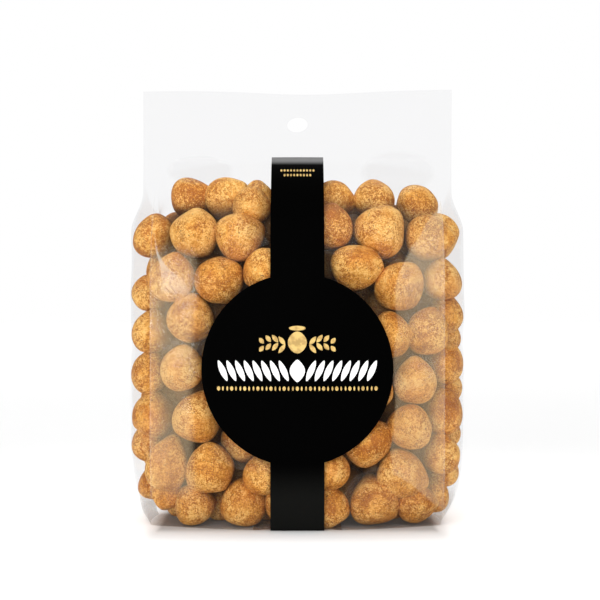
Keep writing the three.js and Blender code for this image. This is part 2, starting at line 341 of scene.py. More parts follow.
@dataclass(frozen=True)
class ClearFilm:
    """Clear glossy film: see-through, brighter at a slant, with painted veils and streaks of
    reflected light.

    The painted veils lie on the outer parts of the front and back, between the disc and the
    creases.
    The film also has painted highlights along the creases, a few painted glints and painted shade
    on the dome.
    """

    tint: Colour = (0.963, 0.963, 0.966)
    # Colours of the painted light: the reflection in the veils; the crease highlights and glints,
    # along with the film's faint clouding; and the shade on the dome.
    warm: Colour = (0.76, 0.57, 0.34)
    cool: Colour = (0.70, 0.68, 0.65)
    dull: Colour = (0.42, 0.42, 0.42)
    veil: float = 0.19
    streak: float = 0.30
    crease: float = 0.0504
    line: float = 0.0004
    dome: float = 0.06
    gloss_roughness: float = 0.07
    shoulder: float = 108.0 * MM
    wedge_top: float = 102.2 * MM
    wedge_foot: float = 79.0 * MM
    wedge_side: float = 50.3 * MM
    right_inner: float = 33.0 * MM
    right_turn: float = 74.0 * MM
    # Each patch of painted shade on the dome: its middle across and up, and its half width and
    # half height.
    dome_shade_patches: Tuple[Tuple[float, float, float, float], ...] = (
        (-0.0350, 0.1248, 0.0125, 0.0058),
        (0.0360, 0.1240, 0.0140, 0.0085),
    )

    def material(self) -> bpy.types.Material:
        """Makes the finish.

        Returns:
            The material.
        """
        bench = Bench(bpy.data.materials.new("clear_film"))
        x, _, z = bench.axes()
        wander = 0.006 * (bench.noise(55, 1) - 0.5)
        # Painted reflections of the lamps: a veil on each side and a brighter wedge on the left.
        left, wedge = self._left(x + wander, z)
        right = self._right(x + wander, z)
        panel = abs(x).rise(self.crease + 0.0004, self.crease - 0.0004)
        body = z.rise(0.118, self.shoulder) * z.rise(0.004, 0.012)
        cloud = 0.62 + 0.76 * bench.noise(38, 2)
        veils = (left + right) * panel * cloud * z.rise(0.130, 0.112)
        # Painted highlights along the creases.
        edge = abs(abs(x) - self.crease).rise(self.line, 0.0) * body
        foot = z.rise(0.016, 0.0) * 0.012
        # Painted shade: two darker grey patches on the dome.
        left_dome_shade, right_dome_shade = (
            1.0 - ((x - across) / half_width) ** 2 - ((z - up) / half_height) ** 2
            for across, up, half_width, half_height in self.dome_shade_patches
        )
        dome = self.dome * left_dome_shade.most(right_dome_shade).rise(0.0, 0.4)
        # Painted glints in scattered patches of the film.
        folds = bench.cells(62, bench.warped(30, 0.010)).outputs["Color"]
        facet = Wire(bench, bench.node("ShaderNodeSeparateColor", None, {0: folds}).outputs[0])
        facet_glints = facet.rise(0.72, 0.78) * 0.02 * body
        # All the painted light and shade together, with the film's own faint clouding.
        haze_and_painted_light = (veils + wedge + 0.12 * edge + foot + facet_glints + dome + 0.006).held()
        slant = Wire(bench, bench.node("ShaderNodeFresnel", None, {"IOR": 1.45}).outputs[0])
        shine = (0.9 * slant - 0.03).most(0.0).least(0.6) * z.rise(0.122, self.shoulder).most(0.02)
        shine = shine * (1.0 - 0.75 * (1.0 - panel) * z.rise(0.004, 0.012))
        cover = (haze_and_painted_light + shine).held()
        crinkle = bench.noise(140, 2, 0.5, 0.8)
        # The whitish layer that shows the painted light and shade and the film's gloss.
        white = bench.principled(
            Base_Color=bench.blend(
                (dome / (haze_and_painted_light + 0.001)).held(),
                bench.blend((veils / (haze_and_painted_light + 0.001)).held(), self.cool, self.warm),
                self.dull,
            ),
            Metallic=(shine / (haze_and_painted_light + shine + 0.001)).held(),
            Roughness=self.gloss_roughness,
            Normal=bench.bump(crinkle, 0.0006, 0.35),
        )
        clear = bench.node(
            "ShaderNodeBsdfTransparent", None, {"Color": (*self.tint, 1.0)}
        ).outputs[0]
        mixed = bench.node("ShaderNodeMixShader", None, {0: cover, 1: clear, 2: white}).outputs[0]
        return bench.finish(mixed)

    def _left(self, x: Wire, z: Wire) -> Tuple[Wire, Wire]:
        """The left side's painted veil of reflected light, and the painted wedge of brighter
        reflection that starts at the crease.

        Args:
            x: the place across.
            z: the height.

        Returns:
            The strength of the veil and of the wedge.
        """
        band = x.rise(-0.0335, -0.0375) * z.rise(0.008, 0.016) * z.rise(0.100, 0.090)
        # The wedge's right side curves away from the crease downwards.
        down, aside = self.wedge_top - z, x + self.wedge_side
        upper = (aside - 0.30 * down - 13.5 * down * down).rise(0.0005, -0.0005)
        lower = (aside - 0.29 * down.least(0.012)).rise(-0.0004, 0.0004)
        ends = z.rise(self.wedge_foot, self.wedge_foot + 0.0035)
        ends = ends * z.rise(self.wedge_top, self.wedge_top - 0.0010)
        wedge = upper * lower * ends
        return self.veil * band, self.streak * (0.35 + 0.65 * z.rise(0.084, 0.096)) * wedge

    def _right(self, x: Wire, z: Wire) -> Wire:
        """The right side's painted veil of reflected light: it starts high by the crease and
        curves in towards the disc.

        Args:
            x: the place across.
            z: the height.

        Returns:
            The veil's strength.
        """
        high = (z - self.right_turn).most(0.0)
        inner = (x - self.right_inner - 11.5 * high * high).rise(-0.0006, 0.0006)
        below = (z - 0.0232 + 0.72 * (x - 0.0273)).rise(-0.0006, 0.0006)
        return self.veil * (0.85 + 0.45 * z.rise(0.070, 0.088)) * inner * below


@dataclass(frozen=True)
class BlackCard:
    """Matte black card with a fine fibre, its foot painted a little lighter as a painted sheen,
    and its bend at the top painted lighter as a painted highlight.
    """

    black: Colour = (0.0003, 0.0003, 0.0003)
    foot_sheen: Colour = (0.0056, 0.0057, 0.0052)
    bend_highlight: Colour = (0.18, 0.18, 0.18)
    foot_sheen_height: float = 24.0 * MM
    bend_height: float = 125.9 * MM

    def material(self) -> bpy.types.Material:
        """Makes the finish.

        Returns:
            The material.
        """
        bench = Bench(bpy.data.materials.new("black_card"))
        _, _, z = bench.axes()
        fibre = bench.noise(2600, 3, 0.6)
        # Painted sheen: lighter towards the foot.
        colour = bench.blend(z.rise(self.foot_sheen_height, 0.010), self.black, self.foot_sheen)
        # Painted highlight where the card bends back at the top.
        colour = bench.blend(z.rise(self.bend_height, 0.1280), colour, self.bend_highlight)
        return bench.finish(
            bench.principled(
                Base_Color=colour,
                Roughness=0.42 + 0.12 * fibre,
                Specular_IOR_Level=0.006,
                Normal=bench.bump(fibre, 0.00006, 0.5),
            )
        )


@dataclass(frozen=True)
class PrintInk:
    """Ink printed on the card, with a little of the card's fibre in it."""

    name: str
    full: Colour
    worn: Colour
    roughness: float

    def material(self) -> bpy.types.Material:
        """Makes the finish.

        Returns:
            The material.
        """
        bench = Bench(bpy.data.materials.new(self.name))
        fibre = bench.noise(2400, 3, 0.6)
        blotch = bench.noise(420, 2, 0.6).rise(0.42, 0.66)
        return bench.finish(
            bench.principled(
                Base_Color=bench.blend(blotch, self.full, self.worn),
                Roughness=self.roughness + 0.12 * fibre,
                Specular_IOR_Level=0.3,
                Normal=bench.bump(fibre, 0.00005, 0.4),
            )
        )


@dataclass(frozen=True)
class StudioGround:
    """The pale floor: white, with a painted glow from within that is stronger a little way off the
    bag and far off and absent under and close by it, a painted shadow under and beside the bag,
    and painted shade in front, where the lamps light it most.
    """

    white: Colour = (0.86, 0.86, 0.86)
    shaded: Colour = (0.10, 0.10, 0.10)
    glow: float = 0.20
    near_glow: float = 0.16
    far_glow: float = 0.60
    foot_half_width: float = 47.0 * MM
    foot_half_depth: float = 21.5 * MM
    side_steepness: float = 4.5

    def material(self) -> bpy.types.Material:
        """Makes the finish.

        Returns:
            The material.
        """
        bench = Bench(bpy.data.materials.new("studio_ground"))
        x, y, _ = bench.axes()
        away = (x * x + y * y) ** 0.5
        sideways = self.side_steepness * (abs(x) - self.foot_half_width)
        ahead = abs(y) - self.foot_half_depth
        beside = (sideways.most(0.0) ** 2 + ahead.most(0.0) ** 2) ** 0.5
        beside = beside + sideways.most(ahead).least(0.0)
        # Painted light: the floor glows, more a little way off the bag, where the bag's own shade
        # would fall, and more in the distance; under and close by the bag it does not glow, which
        # leaves a painted shadow.
        glow = self.glow + self.near_glow * away.rise(0.30, 0.10)
        glow = glow * beside.rise(-0.001, 0.030) + self.far_glow * away.rise(0.05, 2.3)
        # Painted shadow: the colour is darkened under and close by the bag.
        under = 0.42 * beside.rise(0.008, -0.003)
        # Painted shade: the colour is darker in front, where the lamps light the floor most.
        front_shade = 0.36 * y.rise(-0.20, -0.50) * y.rise(-2.2, -0.9)
        return bench.finish(
            bench.principled(
                Base_Color=bench.blend(under.most(front_shade), self.white, self.shaded),
                Roughness=0.9,
                Specular_IOR_Level=0.0,
                Emission_Color=bench.blend(glow, (0.0, 0.0, 0.0), (1.0, 1.0, 1.0)),
                Emission_Strength=1.0,
            )
        )


class Finish(Enum):
    """The finishes, each with the material slot that it belongs to."""

    NUTS = ("nuts", RoastedCoat())
    FILM = ("film", ClearFilm())
    CARD = ("band_paper", BlackCard())
    GOLD = ("band_gold", PrintInk("gold_ink", (0.62, 0.42, 0.13), (0.40, 0.25, 0.07), 0.38))
    WHITE = ("band_white", PrintInk("white_ink", (0.86, 0.86, 0.85), (0.80, 0.80, 0.79), 0.5))

    def dress(self, piece: bpy.types.Object) -> None:
        """Gives a piece this finish.

        Args:
            piece: the piece.
        """
        slot, look = self.value
        piece.data.materials.clear()
        piece.data.materials.append(look.material())


# ---------------------------------------------------------------------------------------------
# Mesh handling


class Shaper:
    """Common steps of modelling a piece by hand."""

    @staticmethod
    def clear() -> None:
        """Deselects everything."""
        bpy.ops.object.select_all(action="DESELECT")

    @staticmethod
    def named(name: str) -> bpy.types.Object:
        """Names the object just added and its mesh, and returns it."""
        made = bpy.context.object
        made.name = made.data.name = name
        return made

    @staticmethod
    def only(piece: bpy.types.Object) -> None:
        """Makes one piece the selected and active one."""
        Shaper.clear()
        piece.select_set(True)
        bpy.context.view_layer.objects.active = piece

    @staticmethod
    @contextmanager
    def editing(piece: bpy.types.Object) -> Iterator[None]:
        """Opens one piece in edit mode for the steps inside."""
        Shaper.only(piece)
        bpy.ops.object.mode_set(mode="EDIT")
        yield
        bpy.ops.object.mode_set(mode="OBJECT")

    @staticmethod
    def vertices(piece: bpy.types.Object) -> Array:
        """A piece's vertices, as rows of three."""
        flat = np.empty(len(piece.data.vertices) * 3)
        piece.data.vertices.foreach_get("co", flat)
        return flat.reshape(-1, 3)

    @staticmethod
    def move(piece: bpy.types.Object, places: Array) -> None:
        """Moves a piece's vertices to new places, given as rows of three."""
        piece.data.vertices.foreach_set("co", np.asarray(places, float).ravel())
        piece.data.update()

    @staticmethod
    def tidy(piece: bpy.types.Object, merge: float) -> None:
        """Merges doubled vertices and turns all faces outwards.

        Args:
            piece: the piece.
            merge: vertices closer than this are one.
        """
        with Shaper.editing(piece):
            bpy.ops.mesh.select_all(action="SELECT")
            bpy.ops.mesh.remove_doubles(threshold=merge)
            bpy.ops.mesh.normals_make_consistent(inside=False)

    @staticmethod
    def apply(piece: bpy.types.Object, kind: str, **settings: Any) -> None:
        """Adds a modifier to a piece and applies it.

        Args:
            piece: the piece.
            kind: the modifier's type.
            settings: its properties.
        """
        Shaper.only(piece)
        step = piece.modifiers.new(kind.title(), kind)
        for key, value in settings.items():
            setattr(step, key, value)
        bpy.ops.object.modifier_apply(modifier=step.name)

    @staticmethod
    def combine(piece: bpy.types.Object, tool: bpy.types.Object, operation: str) -> None:
        """Cuts a piece with a tool, or joins the two, and takes the tool away.

        Args:
            piece: the piece.
            tool: the tool.
            operation: what the Boolean does.
        """
        Shaper.apply(piece, "BOOLEAN", object=tool, operation=operation, solver="EXACT")
        Shaper.only(tool)
        bpy.ops.object.delete()

    @staticmethod
    def join(pieces: Sequence[bpy.types.Object], name: str) -> bpy.types.Object:
        """Joins pieces into one.

        Args:
            pieces: the pieces; the first one stays.
            name: the joined piece's name.

        Returns:
            The joined piece.
        """
        Shaper.clear()
        for piece in pieces:
            piece.select_set(True)
        bpy.context.view_layer.objects.active = pieces[0]
        if len(pieces) > 1:
            bpy.ops.object.join()
        return Shaper.named(name)


# ---------------------------------------------------------------------------------------------
# The bag's form and what it holds


def smooth_step(value: Array, start: float, end: float) -> Array:
    """A smooth step from 0 where it starts to 1 where it ends."""
    share = np.clip((value - start) / (end - start), 0.0, 1.0)
    return share * share * (3.0 - 2.0 * share)


def turned(side: Array, up: Array, angle: float) -> Tuple[Array, Array]:
    """Flat points turned to the left about their origin by an angle in radians."""
    cos, sin = math.cos(angle), math.sin(angle)
    return cos * side - sin * up, sin * side + cos * up


@dataclass(frozen=True)
class BagForm:
    """The smooth form of the filled bag: a gusseted section whose size changes with height."""

    half_width: float = 59.2 * MM
    half_depth: float = 26.4 * MM
    foot_height: float = 42.0 * MM
    foot_width_loss: float = 0.14
    foot_depth_loss: float = 0.12
    shoulder_height: float = 82.0 * MM
    gusset_closing: float = 103.0 * MM
    gusset_end: float = 117.0 * MM
    dome_top: float = 128.5 * MM
    crease_width: float = 0.852
    crease_depth: float = 0.769
    crease_depth_loss: float = 0.5
    crease_width_gain: float = 0.125
    crease_foot_loss: float = 0.25
    header_half_width: float = 55.1 * MM
    height: float = 153.6 * MM
    top_dip: float = 1.3 * MM
    wave: float = 1.1 * MM

    def _foot(self, z: Array) -> Array:
        """How strongly the foot draws the form in at a height, from 1 at the bottom to 0."""
        return (1.0 - np.clip(z / self.foot_height, 0.0, 1.0)) ** 4

    def outer_width(self, z: Array) -> Array:
        """Half width of the film's outline at a height."""
        drawn = smooth_step(z, self.gusset_closing, self.gusset_end)
        narrowing = 1.0 - (1.0 - self.header_half_width / self.half_width) * drawn
        return self.half_width * (1.0 - self.foot_width_loss * self._foot(z)) * narrowing

    def fold(self, z: Array) -> Array:
        """The creases' share of the half width at a height: more at the square bottom corners."""
        return self.crease_width + self.crease_width_gain * self._foot(z)

    def section(self, z: Array) -> Tuple[Array, Array, Array]:
        """The filled section at a height.

        Args:
            z: the height.

        Returns:
            Its half width, its half depth, and the creases' share of the half depth.
        """
        foot = self._foot(z)
        span = self.dome_top - self.shoulder_height
        lean = np.clip((z - self.shoulder_height) / span, 0.0, 0.9995)
        width = self.outer_width(z) * np.sqrt(1.0 - lean**12)
        depth = self.half_depth * (1.0 - self.foot_depth_loss * foot) * (1.0 - lean**2) ** 0.68
        crease = self.crease_depth - self.crease_depth_loss * lean**2
        return width, depth, crease - self.crease_foot_loss * foot

    def panel(self, x: Array, z: Array) -> Array:
        """Half depth of the filled section at a place across the bag."""
        width, depth, crease = self.section(z)
        return depth * (1.0 - (1.0 - crease) * (x / (self.fold(z) * width)) ** 2)

    def gusset(self, y: Array, z: Array) -> Array:
        """Half width of the filled section at a depth."""
        width, depth, crease = self.section(z)
        return width * (1.0 - (1.0 - self.fold(z)) * (y / (crease * depth)) ** 2)

    def top_edge(self, x: Array) -> Array:
        """Height of the header's top edge at a place across it."""
        dip = self.top_dip * np.exp(-(((x - 0.003) / 0.024) ** 2))
        return self.height - dip + 0.006 * (x - 0.055)

    def header_wave(self, x: Array, z: Array) -> Array:
        """How far the header's film waves out of its plane."""
        rise = np.clip((z - self.dome_top) / (self.height - self.dome_top), 0.0, 1.2)
        return self.wave * np.sin(x / 0.017 + 0.6) * rise**2


FORM = BagForm()


@dataclass(frozen=True)
class ShownNut:
    """A nut that shows through the front: its place and size in millimetres, and its look."""

    across: float
    height: float
    radius: float
    behind: float = 0.0
    length: float = 1.06
    turn: float = 0.0
    tone: float = 0.5
    taper: float = 0.12
    pick: int = 0


# The nuts that show, from the bottom up, and after them those that fill the gaps behind.
SHOWN_NUTS: List[ShownNut] = [
    ShownNut(-35.4, 7.4, 7.2, 0, 1.12, 80, 0.50),
    ShownNut(-18.8, 8.3, 8.2, 0, 1.02, 10, 0.42),
    ShownNut(11.0, 7.2, 7.1, 0, 1.05, 0, 0.42),
    ShownNut(26.7, 9.0, 8.8, 0, 1.08, -12, 0.42, 0.28, 1),
    ShownNut(42.0, 7.4, 7.2, 1, 1.12, 90, 0.38),
    ShownNut(-52.3, 13.6, 6.2, 7, 1.02, 0, 0.40),
    ShownNut(49.2, 8.6, 6.4, 7, 1.02, 0, 0.45),
    ShownNut(51.6, 18.0, 6.2, 12),
    ShownNut(50.9, 24.6, 7.2, 8, 1.02, 0, 0.45),
    ShownNut(-52.7, 28.0, 6.6, 10, 1.05, 0, 0.40),
    ShownNut(-45.9, 21.4, 8.7, 2, 1.30, 14, 0.50),
    ShownNut(-46.0, 9.4, 5.4, 8, 1.05, 60, 0.38),
    ShownNut(-41.4, 6.2, 5.2, 7, 1.05, 60, 0.38),
    ShownNut(-30.2, 20.7, 8.7, 0, 1.08, -5, 0.60, 0.2),
    ShownNut(-11.6, 18.6, 7.2, 0, 1.02, 0, 0.50),
    ShownNut(11.3, 20.0, 6.9, 0, 1.02, 0, 0.45),
    ShownNut(36.6, 18.3, 9.0, 0, 1.16, 118, 0.58),
    ShownNut(-18.1, 30.0, 8.5, 3, 1.05, 40, 0.38),
    ShownNut(24.1, 28.8, 8.6, 0, 1.06, 60, 0.42),
    ShownNut(38.6, 34.6, 7.9, 0, 1.06, 140, 0.62),
    ShownNut(51.4, 39.0, 7.8, 8, 1.18, 0, 0.36),
    ShownNut(-51.4, 38.0, 8.3, 7, 1.04, 0, 0.42),
    ShownNut(-35.1, 38.0, 8.8, 0, 1.04, 20, 0.58),
    ShownNut(40.7, 50.8, 8.0, 0, 1.12, 0, 0.60),
    ShownNut(52.2, 56.5, 7.3, 8, 1.10, 0, 0.42),
    ShownNut(-39.9, 55.0, 7.9, 0, 1.03, 0, 0.66),
    ShownNut(-52.2, 53.0, 7.5, 8, 1.15, 0, 0.42),
    ShownNut(-52.3, 67.5, 7.6, 8, 1.12, 0, 0.50),
    ShownNut(32.0, 66.6, 7.9, 0, 1.14, 0, 0.60),
    ShownNut(45.2, 67.8, 8.0, 1, 1.14, 0, 0.50),
    ShownNut(-37.1, 72.3, 8.5, 0, 1.10, 8, 0.58),
    ShownNut(52.2, 74.0, 7.2, 9, 1.10, 0, 0.42),
    ShownNut(35.2, 83.3, 8.6, 0, 1.05, 35, 0.50),
    ShownNut(51.2, 86.0, 7.4, 7, 1.00, 0, 0.48),
    ShownNut(-53.2, 81.0, 6.8, 12, 1.00, 0, 0.42),
    ShownNut(-44.1, 86.5, 8.8, 1, 1.05, 0, 0.45),
    ShownNut(-27.1, 85.4, 8.5, 0, 1.02, 150, 0.38),
    ShownNut(-10.9, 88.9, 7.7, 0, 1.03, 0, 0.50),
    ShownNut(20.6, 89.6, 8.6, 0, 1.12, 80, 0.56),
    ShownNut(-50.6, 101.5, 8.0, 6, 1.05, 0, 0.38),
    ShownNut(-36.0, 102.0, 8.9, 0, 1.03, 0, 0.62),
    ShownNut(-19.9, 100.3, 8.7, 1, 1.05, 70, 0.52),
    # This nut's very dark tone is partly painted shade from the band beside it.
    ShownNut(11.3, 104.1, 8.1, 0, 1.05, 0, 0.06),
    ShownNut(28.2, 102.0, 9.3, 0, 1.06, 32, 0.54, 0.20),
    ShownNut(46.6, 100.2, 8.7, 0, 1.06, 90, 0.50),
    ShownNut(42.8, 111.8, 7.8, 3, 1.04, 80, 0.45),
    ShownNut(27.3, 114.0, 7.6, 5, 1.03, 0, 0.55),
    ShownNut(-37.3, 115.0, 7.7, 4, 1.05, 80, 0.14),
    ShownNut(-25.1, 114.6, 7.8, 4, 1.08, 60, 0.58),
    ShownNut(-16.4, 112.0, 6.8, 8, 1.05, 0, 0.50),
    ShownNut(-14.6, 115.5, 6.6, 16, 1.02, 0, 0.45),
    ShownNut(13.2, 113.7, 7.6, 4, 1.10, 90, 0.42),
    ShownNut(37.5, 94.5, 8.2, 17),
    ShownNut(19.5, 101.0, 8.2, 17),
    ShownNut(-10.5, 104.5, 8.0, 16),
    ShownNut(55.2, 47.5, 6.5, 18),
    ShownNut(-33.0, 93.5, 8.0, 15),
    ShownNut(12.5, 93.5, 8.0, 17),
    ShownNut(-20.5, 18.6, 8.0, 16),
    ShownNut(18.5, 12.0, 7.5, 15),
    ShownNut(-27.5, 7.5, 7.0, 14),
    ShownNut(-20.6, 92.0, 7.5, 24),
    ShownNut(29.5, 75.5, 7.0, 15),
    ShownNut(29.5, 20.5, 7.0, 16),
    ShownNut(45.5, 91.0, 7.0, 16),
    ShownNut(-45.0, 61.5, 7.0, 17),
    ShownNut(-43.5, 31.0, 7.0, 16),
    ShownNut(-36.5, 81.5, 7.0, 17),
    ShownNut(-22.0, 78.5, 7.0, 16),
    ShownNut(44.0, 26.5, 7.0, 17),
    ShownNut(54.0, 65.5, 5.8, 17),
    ShownNut(53.6, 31.5, 5.8, 17),
    ShownNut(-29.5, 75.0, 7.0, 15),
    ShownNut(20.5, 21.0, 7.0, 23),
    ShownNut(44.5, 59.5, 6.5, 18),
    ShownNut(22.0, 81.5, 7.5, 16),
    ShownNut(19.5, 109.0, 7.5, 24),
    ShownNut(-29.5, 108.5, 7.5, 16),
    ShownNut(-36.5, 28.8, 6.5, 22),
    ShownNut(36.4, 75.4, 6.5, 22),
    ShownNut(34.8, 26.8, 6.5, 22),
    ShownNut(-40.0, 13.0, 6.0, 16),
]


@dataclass
class NutBed:
    """The hazelnuts: packed inside the bag's form, each with its own shape, size and tone."""

    count: int = 156
    radius: float = 8.35 * MM
    spread: float = 0.09
    fill_top: float = 123.0 * MM
    heap_top: float = 121.0 * MM
    # The lowest start and how far above it the highest is, in millimetres.
    start_low: float = 8.0
    start_span: float = 102.0
    foremost: float = 0.1
    rounds: int = 420
    fall: float = 0.22 * MM
    shown_ease: float = 0.1
    sight_pull: float = 0.7
    home_pull: float = 0.08
    left_corner: float = -40.0 * MM
    left_rise: float = 0.5
    right_corner: float = 48.6 * MM
    right_rise: float = 1.1
    shoulder_sum: float = 166.0 * MM
    floor_gap: float = 0.3 * MM
    skin_gap: float = -0.15 * MM
    seed: int = 27
    shape_seed: int = 21
    rows: List[ShownNut] = field(default_factory=lambda: SHOWN_NUTS)

    def __post_init__(self) -> None:
        """Packs the nuts."""
        self.draws = np.random.default_rng(self.seed)
        self.centres, self.radii = self._settle()

    def walls(self) -> List[Callable[[Array], Array]]:
        """The bounds of the contents.

        Returns:
            For each bound, how far points are inside it.
        """
        return [
            lambda p: FORM.panel(p[..., 0], p[..., 2]) - np.abs(p[..., 1]),
            lambda p: FORM.gusset(p[..., 1], p[..., 2]) - np.abs(p[..., 0]),
            lambda p: self.fill_top - p[..., 2],
            lambda p: p[..., 2] + self.left_rise * (p[..., 0] - self.left_corner),
            lambda p: p[..., 2] - self.right_rise * (p[..., 0] - self.right_corner),
            lambda p: p[..., 2] - self.floor_gap,
            lambda p: self.shoulder_sum - np.abs(p[..., 0]) - p[..., 2],
        ]

    def depth(self, points: Array) -> Array:
        """How deep points lie among the nuts, from the nearest open side of the heap."""
        front, side = (wall(points) for wall in self.walls()[:2])
        height = points[:, 2]
        return np.minimum.reduce([front, side, height, self.heap_top - height])

    @staticmethod
    def slope(wall: Callable[[Array], Array], points: Array) -> Array:
        """How fast the distance inside a wall grows along each axis.

        Args:
            wall: the wall.
            points: where it is read.

        Returns:
            The growths, as rows of three.
        """
        step = 0.01 * MM
        rises = []
        for axis in range(3):
            shift = np.zeros(3)
            shift[axis] = step
            rises.append((wall(points + shift) - wall(points - shift)) / (2 * step))
        return np.stack(rises, axis=-1)

    def _start(self) -> Tuple[Array, Array, Array]:
        """Where the nuts start.

        Returns:
            The centres, the radii, and how easily each nut is pushed aside.
        """
        front = self.walls()[0]
        centres, radii, ease = [], [], []
        for nut in self.rows:
            x, z, r = nut.across * MM, nut.height * MM, nut.radius * MM
            wall = -float(FORM.panel(np.array(x), np.array(z)))
            steep = float(np.linalg.norm(self.slope(front, np.array([x, wall, z]))))
            centres.append((x, wall + r * steep + nut.behind * MM, z))
            radii.append(r)
            ease.append(self.shown_ease)
        while len(centres) < self.count:
            z = (self.start_low + self.start_span * self.draws.random()) * MM
            width, depth, _ = FORM.section(np.array(z))
            x = (2 * self.draws.random() - 1) * (float(width) - self.radius)
            back = self.foremost + (1.0 - self.foremost) * self.draws.random()
            y = back * (float(depth) - self.radius)
            centres.append((x, y, z))
            radii.append(self.radius * (1 + self.spread * (2 * self.draws.random() - 1)))
            ease.append(1.0)
        return np.array(centres), np.array(radii), np.array(ease)

    def _settle(self) -> Tuple[Array, Array]:
        """Lets the nuts settle: those that show keep near their places.

        Returns:
            The centres and the radii.
        """
        centres, radii, ease = self._start()
        self.homes = centres.copy()
        reach = radii[:, None] + radii[None, :]
        give = ease[:, None] / (ease[:, None] + ease[None, :])
        np.fill_diagonal(give, 0.0)
        for turn in range(self.rounds):
            centres[:, 2] -= self.fall * ease * (1.0 - turn / self.rounds)
            for _ in range(2):
                apart = centres[:, None, :] - centres[None, :, :]
                distance = np.linalg.norm(apart, axis=2) + 1e-9
                overlap = np.clip(reach - distance, 0.0, None)
                pushes = apart * (overlap * give / distance)[..., None]
                centres += 0.6 * pushes.sum(axis=1)
            self._hold(centres)
            for wall in self.walls():
                rise = self.slope(wall, centres)
                steep = np.linalg.norm(rise, axis=1)
                short = np.clip(radii - wall(centres) / steep, 0.0, None)
                centres += rise / steep[:, None] * short[:, None]
        return centres, radii

    def _line_of_sight(self, index: Union[int, slice], deep: Array) -> Array:
        """Where the lines on which nuts are seen from the front pass at a depth.

        Args:
            index: the nut's number, or several.
            deep: the depth for each.

        Returns:
            The points, as rows of three.
        """
        eye = np.array(EYE)
        ahead = (deep - eye[1]) / (self.homes[index, 1] - eye[1])
        return eye + (self.homes[index] - eye) * np.atleast_1d(ahead)[:, None]

    def _hold(self, centres: Array) -> None:
        """Draws the nuts that show back to their lines of sight, and slowly to their depths."""
        shown = slice(0, len(self.rows))
        line = self._line_of_sight(shown, centres[shown, 1])
        centres[shown] += self.sight_pull * (line - centres[shown])
        centres[shown, 1] += self.home_pull * (self.homes[shown, 1] - centres[shown, 1])

    def pressed(self, points: Array, normals: Array) -> Array:
        """How much the nuts press the film at its points.

        Args:
            points: the film's points.
            normals: the directions out of the film there.

        Returns:
            From 0, where the film is free, to 1, where a nut touches it.
        """
        press = np.zeros(len(points))
        for centre, radius in zip(self.centres, self.radii):
            away = points - centre
            ahead = np.einsum("ij,ij->i", away, normals)
            aside = np.einsum("ij,ij->i", away, away) - ahead * ahead
            touch = np.clip(1.0 - (ahead - radius) / (2.6 * MM), 0.0, 1.0) * (ahead > 0)
            press += touch * np.exp(-aside / (5.2 * MM) ** 2)
        return np.minimum(press, 1.0)

    def _kernel(self) -> Array:
        """One nut's mesh, from a subdivided ball.

        Returns:
            The directions of its vertices, and its faces' corners.
        """
        Shaper.clear()
        bpy.ops.mesh.primitive_ico_sphere_add(subdivisions=4, radius=1.0)
        ball = Shaper.named("kernel")
        rays = Shaper.vertices(ball)
        corners = np.array([tuple(face.vertices) for face in ball.data.polygons])
        bpy.ops.object.delete()
        return rays / np.linalg.norm(rays, axis=1)[:, None], corners

    def _draws_for(self, index: int) -> np.random.Generator:
        """The random draws that shape one nut, whatever the others are.

        Args:
            index: the nut's number.

        Returns:
            The nut's own generator.
        """
        if index >= len(self.rows):
            return np.random.default_rng((self.shape_seed, index - len(self.rows)))
        nut = self.rows[index]
        place = (round(1000 + 10 * nut.across), round(10 * nut.height))
        return np.random.default_rng((self.shape_seed, *place, nut.pick))

    def _shaped(
        self, rays: Array, length: float, taper: float, draw: np.random.Generator
    ) -> Array:
        """One nut of about unit radius, with its point along +Z.

        Args:
            rays: the directions of its vertices.
            length: its length as a share of its width.
            taper: how much narrower it gets towards its point.
            draw: its own random draws.

        Returns:
            Its vertices.
        """
        up = rays[:, 2]
        egg = taper + draw.uniform(-0.03, 0.03)
        point = draw.uniform(0.03, 0.10)
        blunt = draw.uniform(0.03, 0.08)
        around = np.arctan2(rays[:, 1], rays[:, 0])
        level = np.sqrt(np.clip(1.0 - up * up, 0.0, 1.0))
        lobes = 0.030 * np.cos(3 * around + draw.uniform(0, 6.3)) * level**2
        lobes += 0.028 * np.cos(2 * around + draw.uniform(0, 6.3)) * level
        across = 1.0 - egg * up + lobes
        tip = point * np.exp(-(((1.0 - up) / 0.10) ** 2))
        base = blunt * np.exp(-(((1.0 + up) / 0.16) ** 2))
        nut = rays * np.stack([across, across, 1.0 + tip - base], axis=1)
        for _ in range(7):
            line = draw.normal(size=3)
            line /= np.linalg.norm(line)
            swell = np.sin(draw.uniform(2.0, 5.0) * (rays @ line) + draw.uniform(0, 6.3))
            nut *= (1.0 + draw.uniform(0.008, 0.019) * swell)[:, None]
        for _ in range(6):
            line = draw.normal(size=3)
            line /= np.linalg.norm(line)
            beyond = (nut @ line - draw.uniform(0.84, 0.93)) / 0.05
            flat = 0.05 * np.logaddexp(0.0, beyond) * draw.uniform(0.45, 0.75)
            nut -= flat[:, None] * line
        nut -= nut.mean(axis=0)
        stretch = length ** (2 / 3)
        nut *= np.array([stretch**-0.5, stretch**-0.5, stretch])
        return nut / np.linalg.norm(nut, axis=1).mean()

    def _pose(self, index: int, draw: np.random.Generator) -> Array:
        """The matrix that turns a nut's own axes to the bag's.

        Args:
            index: the nut's number.
            draw: its own random draws.

        Returns:
            The matrix, whose columns are the nut's axes.
        """
        if index < len(self.rows):
            turn = math.radians(self.rows[index].turn)
            point = np.array([math.sin(turn), draw.uniform(-0.35, 0.35), math.cos(turn)])
        else:
            point = draw.normal(size=3)
        point = point / np.linalg.norm(point)
        side = np.cross(point, draw.normal(size=3))
        side /= np.linalg.norm(side)
        return np.stack([side, np.cross(point, side), point], axis=1)

